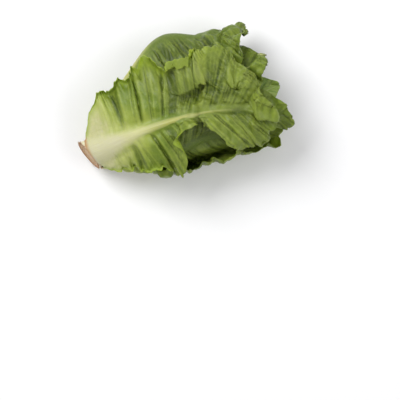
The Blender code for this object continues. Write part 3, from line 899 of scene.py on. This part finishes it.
def mixed(factor, first, second, blend="MIX"):
    """A colour with a second one mixed into it."""
    second = (*second, 1) if isinstance(second, tuple) else second
    wires = {"Factor": factor, 6: first, 7: second}
    settings = {"data_type": "RGBA", "blend_type": blend, "clamp_factor": True}
    return add_node(factor.id_data, "ShaderNodeMix", wires, 2, **settings)


def ramp(factor, stops):
    """A colour that changes smoothly through stops of (place, red, green, blue)."""
    tree = factor.id_data
    made = tree.nodes.new("ShaderNodeValToRGB")
    wire_up(tree, made, {"Fac": factor})
    made.color_ramp.interpolation = "EASE"
    points = made.color_ramp.elements
    while len(points) < len(stops):
        points.new(1.0)
    for point, (place, *colour) in zip(points, stops):
        point.position = place
        point.color = (*colour, 1)
    return made.outputs["Color"]


def vein_net(place, scale, width):
    """1 on the lines of a net of fine veins, and 0 in its meshes."""
    return between(cells_on(place, scale, "DISTANCE_TO_EDGE"), 0.0, width, 1.0, 0.0)


def bumped(height, strength, distance):
    """A surface with a fine relief."""
    wires = {"Height": height, "Strength": strength, "Distance": distance}
    return add_node(height.id_data, "ShaderNodeBump", wires)


def new_finish(name):
    """A new material, its tree and its shader."""
    made = bpy.data.materials.new(name)
    made.use_nodes = True
    return made, made.node_tree, made.node_tree.nodes["Principled BSDF"]


def leaf_material(name, greens, vein_colour, painted_shade_colour, rib_colours, edge_and_roll_light_colour):
    """The finish of a leaf from its cream rib to its green edge."""
    made, tree, shader = new_finish(name)
    place = attribute(tree, "leaf_place", "Vector")
    patches = noise_on(place, PATCHES, 3.0)
    drift = reckon("MULTIPLY", reckon("SUBTRACT", patches, 0.5), 0.5)
    green = reckon("ADD", attribute(tree, "greenness"), drift)
    # Painted shade, weaker where the leaf is pale.
    painted_shade = reckon("MULTIPLY", attribute(tree, "painted_shade"), between(green, 0.05, 0.35, 0.1, 1.0))
    colour = mixed(painted_shade, ramp(green, greens), painted_shade_colour, "MULTIPLY")
    bend = scaled(noise_on(place, NET_BENDS, output="Color"), NET_BEND)
    net_place = moved("ADD", place, bend)
    coarse, fine = vein_net(net_place, *COARSE_NET), vein_net(net_place, *FINE_NET)
    net = weighed((coarse, COARSE_SHOWN), (fine, FINE_SHOWN))
    colour = mixed(weighed((net, 1), (attribute(tree, "vein"), VEIN_SHOWN)), colour, vein_colour)
    # The edge's own colour at the margin, and painted light on the rolled edges.
    edge_and_roll_light = reckon("MULTIPLY", attribute(tree, "edge"), between(green, 0.2, 1.0, 0.75, 0.15))
    edge_and_roll_light = reckon("MAXIMUM", edge_and_roll_light, reckon("MULTIPLY", attribute(tree, "painted_roll_light"), 0.7))
    colour = mixed(edge_and_roll_light, colour, edge_and_roll_light_colour)
    fibres = noise_on(place, RIB_FIBRES, 3.0, FIBRE_STRETCH)
    rib_colour = ramp(attribute(tree, "greenness"), rib_colours)
    rib_colour = mixed(between(fibres, 0.35, 0.7, 0.0, 0.3), rib_colour, FIBRE_COLOUR)
    colour = mixed(attribute(tree, "rib"), colour, rib_colour)
    browned = reckon("MULTIPLY", attribute(tree, "cut_end"), between(patches, 0.3, 0.6, 0.5, 1.0))
    grain = noise_on(place, GRAIN)
    shine = weighed((patches, 0.22), (grain, 0.12))
    height = weighed((grain, 0.3), (net, 1.6), (fibres, attribute(tree, "rib")))
    wires = {
        "Base Color": mixed(browned, colour, BROWN),
        "Roughness": between(shine, 0.08, 0.28, 0.36, 0.56),
        "Normal": bumped(height, 0.55, 0.0005),
        "Subsurface Weight": 0.3,
        "Subsurface Radius": (0.9, 1.0, 0.3),
        "Subsurface Scale": 0.0016,
        "Specular IOR Level": 0.3,
        "Coat Weight": 0.05,
        "Coat Roughness": 0.22,
    }
    wire_up(tree, shader, wires)
    return made


OUTER_GREENS = [(0, 0.52, 0.51, 0.27), (0.12, 0.41, 0.45, 0.14), (0.25, 0.27, 0.33, 0.055)]
OUTER_GREENS += [(0.45, 0.145, 0.21, 0.018), (0.66, 0.115, 0.178, 0.01), (0.82, 0.174, 0.228, 0.036)]
OUTER_GREENS += [(1, 0.10, 0.15, 0.018)]
OUTER_RIB = [(0, 0.53, 0.51, 0.32), (0.08, 0.52, 0.51, 0.25), (0.4, 0.40, 0.41, 0.13)]
OUTER_RIB += [(0.64, 0.40, 0.40, 0.09), (0.8, 0.29, 0.32, 0.07)]
# The second colour is painted shade for furrows and creases; the third also paints light on rolled edges.
OUTER_VEINS, OUTER_PAINTED_SHADE, OUTER_EDGE_AND_ROLL_LIGHT = (0.30, 0.36, 0.055), (0.22, 0.29, 0.045), (0.25, 0.34, 0.02)
INNER_GREENS = [(0, 0.66, 0.65, 0.37), (0.3, 0.53, 0.56, 0.19), (0.6, 0.38, 0.45, 0.11)]
INNER_GREENS += [(1, 0.22, 0.31, 0.06)]
INNER_RIB = [(0, 0.70, 0.69, 0.44), (0.5, 0.56, 0.57, 0.25), (1, 0.34, 0.40, 0.12)]
# The second colour is painted shade for furrows and creases.
INNER_VEINS, INNER_PAINTED_SHADE, INNER_EDGE = (0.46, 0.52, 0.20), (0.45, 0.58, 0.26), (0.15, 0.25, 0.035)
OUTER_LOOK = leaf_material("outer leaf", OUTER_GREENS, OUTER_VEINS, OUTER_PAINTED_SHADE, OUTER_RIB, OUTER_EDGE_AND_ROLL_LIGHT)
INNER_LOOK = leaf_material("inner leaf", INNER_GREENS, INNER_VEINS, INNER_PAINTED_SHADE, INNER_RIB, INNER_EDGE)
print("Leaf finishes:", OUTER_LOOK.name, "and", INNER_LOOK.name)

# %% [markdown]
# ## Grow the leaves
# The leaves that show most get the finest grids. A fine leaf stands for its plain one, which is hidden.

# %% Sixteen leaves
OUTER_LEAVES = 8
GRIDS = {1: (250, 180), 2: (140, 100), 3: (210, 150), 4: (180, 120), 5: (140, 100), 6: (170, 116)}
GRIDS[9] = (140, 90)
OUTER_GRID = (150, 96)
INNER_GRID = (96, 56)
FOLD_HEIGHT = 0.0022
FOLD_HEIGHTS = {3: 0.006}
SEED_STEP = 0.37
TOP_SOFTNESS = 0.002


def fit_in_box(made):
    """Keep every point in the plain heart's box. The highest are pressed down softly."""
    points = np.empty(len(made.data.vertices) * 3, np.float32)
    made.data.vertices.foreach_get("co", points)
    points = points.reshape(-1, 3)
    over = points[:, 2] - (CAD_BOX[1][2] - TOP_SOFTNESS)
    points[:, 2] -= np.where(over > 0, over - TOP_SOFTNESS * (1 - np.exp(-over / TOP_SOFTNESS)), 0)
    points = np.clip(points, *np.array(CAD_BOX))
    made.data.vertices.foreach_set("co", points.ravel())
    made.data.update()


leaf_triangles = 0
for leaf in LEAVES:
    outermost = leaf.number <= OUTER_LEAVES
    piece = leaf_object(leaf, *GRIDS.get(leaf.number, OUTER_GRID if outermost else INNER_GRID))
    own = {"Fold Height": FOLD_HEIGHTS.get(leaf.number, FOLD_HEIGHT), "Seed": SEED_STEP * leaf.number}
    grown(piece, BLISTER_TREE, {**BLISTERS, **own, "Material": OUTER_LOOK if outermost else INNER_LOOK})
    fit_in_box(piece)
    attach(piece, "root")
    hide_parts(leaf.name)
    leaf_triangles += len(piece.data.polygons)
print("Leaves have", leaf_triangles, "triangles")

# %% [markdown]
# ## The cut stem
# The knife leaves a slanting face, creamy when fresh and brown within a day, because the milky sap
# darkens in the air. It is a little hollow, since its soft middle dries first. The stem is built as rings,
# from the middle of the cut to its rim, and then along its side to its tip under the leaves.

# %% Stem rings
FINE_SIDES = 120
SIDE_RINGS = 60
CUT_RINGS = 22
HOLLOW_DEPTH = 0.0007
HOLLOW_RINGS, HOLLOW_RING_DEPTH = 14, 0.25
RIM_RAGGED = 0.0005
RAGGED_PHASES = (0.4, 2.1, 4.4)
RAGGED_RINGS = np.array([1, 0.6, 0.2])[:, None, None]


def cut_face(shares, angle):
    """Points of the cut face at shares of its radius. It is a little hollow, with faint rings."""
    radius = shares * (STEM_PROFILE[0][1] - CUT_BEVEL)
    hollow = HOLLOW_DEPTH * (1 - shares**4) * (1 + HOLLOW_RING_DEPTH * np.cos(HOLLOW_RINGS * shares))
    return round_axis(cut_slope(angle) * radius + hollow, radius, angle, 0)


def stem_object():
    """The stem's points and faces, and what its finish needs at each point."""
    angle = np.arange(FINE_SIDES) * TURN / FINE_SIDES
    ragged = RIM_RAGGED * unit(wander(angle, TURN / 3, RAGGED_PHASES))
    side = stem_rings(np.linspace(0, STEM_RINGS[-1], SIDE_RINGS), FINE_SIDES)
    side[: len(RAGGED_RINGS), :, 1:] *= 1 - ragged[None, :, None] / STEM_PROFILE[0][1] * RAGGED_RINGS
    shares = np.linspace(0, 1, CUT_RINGS + 1)[1:-1, None]
    rings = np.concatenate([cut_face(shares, angle), side])
    ends = [[HOLLOW_DEPTH, 0, axis_height(0)], [STEM_TIP, 0, axis_height(STEM_TIP)]]
    points = np.concatenate([rings.reshape(-1, 3), ends])
    index = np.arange(len(points) - 2).reshape(-1, FINE_SIDES)
    following = np.roll(index, -1, axis=1)
    walls = np.stack([index[:-1], following[:-1], following[1:], index[1:]], -1).reshape(-1, 4)
    butt, tip = np.full(FINE_SIDES, len(points) - 2), np.full(FINE_SIDES, len(points) - 1)
    butt_fan = np.stack([butt, following[0], index[0]], -1)
    tip_fan = np.stack([tip, index[-1], following[-1]], -1)
    on_side = (len(side) - 1) * FINE_SIDES
    from_middle = np.concatenate([np.repeat(shares, FINE_SIDES), np.ones(on_side + FINE_SIDES), [0, 1]])
    on_cut = np.concatenate([np.ones(len(points) - 2 - on_side), np.zeros(on_side), [1, 0]])
    faces = walls.tolist() + butt_fan.tolist() + tip_fan.tolist()
    return points, faces, {"from_middle": from_middle, "on_cut": on_cut}


stem_points, stem_faces, stem_marks = stem_object()
print("The stem has", len(stem_faces), "faces")

# %% [markdown]
# ## The stem's finish
# The cut is tan, darker at the rim and in a ring of sap, with fine specks. The side of the stem is cream.

# %% Stem material
TANS = [(0.1, 0.52, 0.36, 0.20), (0.45, 0.56, 0.38, 0.21), (0.7, 0.46, 0.29, 0.14), (0.85, 0.62, 0.43, 0.24)]
TANS += [(1, 0.36, 0.18, 0.07)]
CREAMS = [(0.3, 0.64, 0.56, 0.36), (0.7, 0.72, 0.66, 0.46)]
SPECK_COLOUR = (0.28, 0.14, 0.06)


def stem_material():
    """Browned cut face and cream side."""
    made, tree, shader = new_finish("cut stem")
    place = add_node(tree, "ShaderNodeTexCoord", {}, "Object")
    mottle = noise_on(place, 420.0, 4.0)
    reach = weighed((mottle, 0.25), (attribute(tree, "from_middle"), 1))
    specks = between(noise_on(place, 1500.0), 0.56, 0.7, 0.0, 0.6)
    cut = mixed(specks, ramp(reach, TANS), SPECK_COLOUR)
    wires = {
        "Base Color": mixed(attribute(tree, "on_cut"), ramp(mottle, CREAMS), cut),
        "Roughness": between(mottle, 0.3, 0.7, 0.5, 0.75),
        "Normal": bumped(mottle, 0.6, 0.0006),
        "Subsurface Weight": 0.15,
        "Subsurface Scale": 0.002,
    }
    wire_up(tree, shader, wires)
    return made


STEM_LOOK = stem_material()
stem = mesh_object("fine_stem", stem_points, stem_faces, stem_marks)
stem.data.materials.append(STEM_LOOK)
stem.data.shade_smooth()
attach(stem, "root")
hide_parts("stem")
print("Stem finish:", STEM_LOOK.name)

# %% [markdown]
# ## Fibres and sap bundles
# A stem is full of stringy bundles that carry its sap. The knife leaves their ends as a ring of small
# knobs on the cut, and frays the skin at the rim into short brown fibres. Both are a tapered stub that is
# repeated, so one Geometry Nodes tree makes both: it stands a stub of a random size on every point, along
# the way that was kept there.

# %% Stubs round the cut
BUNDLES = 26
BUNDLE_RING = 0.68
BUNDLE_SCATTER = 0.045
BUNDLE_TURN = 0.07
FIBRES = 120
FIBRE_RING = 0.99
FIBRE_SPREAD = (-0.35, 1.3)
STUB_SIDES = 7
STUB_SEED = 11
BROWNS = [(0.3, 0.22, 0.11, 0.045), (0.55, 0.40, 0.24, 0.11), (0.75, 0.58, 0.42, 0.24)]


def stub_tree():
    """Stand a tapered stub of a random size on every point, along its own way."""
    tree, given = tree_with_inputs("stubs", ["Base Radius", "Tip Radius", "Length", "Smallest"], "Int")
    wires = {"Vertices": STUB_SIDES, "Radius Top": given["Tip Radius"], "Radius Bottom": given["Base Radius"]}
    stub = add_node(tree, "GeometryNodeMeshCone", {**wires, "Depth": given["Length"]})
    way = stored(tree, "outward", "FLOAT_VECTOR")
    turn = add_node(tree, "FunctionNodeAlignRotationToVector", {"Vector": way}, axis="Z")
    wires = {2: given["Smallest"], 3: 1.0, 8: given["Seed"]}
    size = add_node(tree, "FunctionNodeRandomValue", wires, 1, data_type="FLOAT")
    wires = {"Points": given["Geometry"], "Instance": stub, "Rotation": turn, "Scale": size}
    end_tree(tree, add_node(tree, "GeometryNodeInstanceOnPoints", wires), given["Material"])
    return tree


def fibre_material():
    """Dry brown fibre, paler in places."""
    made, tree, shader = new_finish("fibre")
    mottle = noise_on(add_node(tree, "ShaderNodeTexCoord", {}, "Object"), 900.0, 3.0)
    roughness = between(mottle, 0.3, 0.7, 0.6, 0.85)
    wire_up(tree, shader, {"Base Color": ramp(mottle, BROWNS), "Roughness": roughness})
    return made


def stubs(name, points, ways, sizes):
    """Stubs at the points as one piece of the stem."""
    made = mesh_object(name, points, [], {"outward": ways})
    grown(made, STUBS, {**sizes, "Material": FIBRE_LOOK})
    fit_in_box(made)
    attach(made, "root")
    return len(made.data.polygons)


draw = np.random.default_rng(STUB_SEED)
STUBS, FIBRE_LOOK = stub_tree(), fibre_material()
bundle_angle = np.arange(BUNDLES) * TURN / BUNDLES + draw.uniform(-BUNDLE_TURN, BUNDLE_TURN, BUNDLES)
bundle_share = BUNDLE_RING + draw.uniform(-BUNDLE_SCATTER, BUNDLE_SCATTER, BUNDLES)
cut_way = np.tile([-1, -CUT_SLANT, CUT_TILT], (BUNDLES, 1))
sizes = {"Base Radius": 0.0008, "Tip Radius": 0.0005, "Length": 0.0003, "Smallest": 0.5, "Seed": 3}
stub_faces = stubs("sap_bundles", cut_face(bundle_share, bundle_angle), cut_way, sizes)
rim_angle = draw.uniform(0, TURN, FIBRES)
rim_way = np.stack([draw.uniform(*FIBRE_SPREAD, FIBRES), np.cos(rim_angle), np.sin(rim_angle)], -1)
sizes = {"Base Radius": 0.00035, "Tip Radius": 0.00006, "Length": 0.0026, "Smallest": 0.2, "Seed": 5}
stub_faces += stubs("frayed_rim", cut_face(np.full(FIBRES, FIBRE_RING), rim_angle), rim_way, sizes)
print(BUNDLES, "bundles and", FIBRES, "fibres have", stub_faces, "faces")

# %% [markdown]
# ## Floor, light and camera
# The heart lies on a plain pale floor under two soft lights. The camera looks straight down on it through
# a long lens, as in the photograph, with the heart in the upper left of the frame.

# %% Studio
FLOOR_SIZE = 6.0
FLOOR_GAP = 0.0003
FRAME_WIDTH = 0.36
FRAME_CENTRE = (0.0791, -0.0757)
IMAGE_RIGHT = Vector((0.927, -0.375, 0))
LENS = 150
SENSOR = 36
CAMERA_TARGET_HEIGHT = 0.045


def floor_object():
    """A large plain floor just under the heart."""
    corners = np.array([(-1, -1, 0), (1, -1, 0), (1, 1, 0), (-1, 1, 0)]) * FLOOR_SIZE / 2
    made = mesh_object("floor", corners - (0, 0, FLOOR_GAP) + ORIGIN, [(0, 1, 2, 3)], {})
    look, tree, shader = new_finish("pale floor")
    wire_up(tree, shader, {"Base Color": (0.86, 0.86, 0.87, 1), "Roughness": 0.8})
    made.data.materials.append(look)
    return made


def soft_light(name, place, size, power):
    """A large square light that points at the heart and isn't seen itself."""
    data = bpy.data.lights.new(name, "AREA")
    data.size = size
    data.energy = power
    made = in_scene(name, data)
    made.location = place
    made.rotation_mode = "QUATERNION"
    made.rotation_quaternion = (-Vector(place)).to_track_quat("-Z", "Y")
    made.visible_camera = False


def camera_above():
    """A camera that looks straight down, turned as in the photograph."""
    data = bpy.data.cameras.new("camera")
    data.lens = LENS
    data.sensor_width = SENSOR
    back = Vector((0, 0, 1))
    up = back.cross(IMAGE_RIGHT).normalized()
    centre = Vector((FRAME_CENTRE[0] - ORIGIN[0], FRAME_CENTRE[1] - ORIGIN[1], CAMERA_TARGET_HEIGHT))
    turn = Matrix((IMAGE_RIGHT.normalized(), up, back)).transposed().to_4x4()
    made = in_scene("camera", data)
    made.matrix_world = Matrix.Translation(centre + back * (FRAME_WIDTH * LENS / SENSOR)) @ turn
    bpy.context.scene.camera = made


floor_object()
soft_light("key", (-0.5, 0.9, 1.3), 0.9, 22)
soft_light("fill", (0.9, -0.5, 1.1), 1.1, 8)
camera_above()
world = bpy.data.worlds.new("soft sky")
world.use_nodes = True
sky = world.node_tree.nodes["Background"]
wire_up(world.node_tree, sky, {"Color": (1, 1, 1, 1), "Strength": 0.48})
bpy.context.scene.world = world
bpy.context.scene.view_settings.view_transform = "Standard"
print("Camera looks down from", round(bpy.context.scene.camera.location.z, 2), "m")
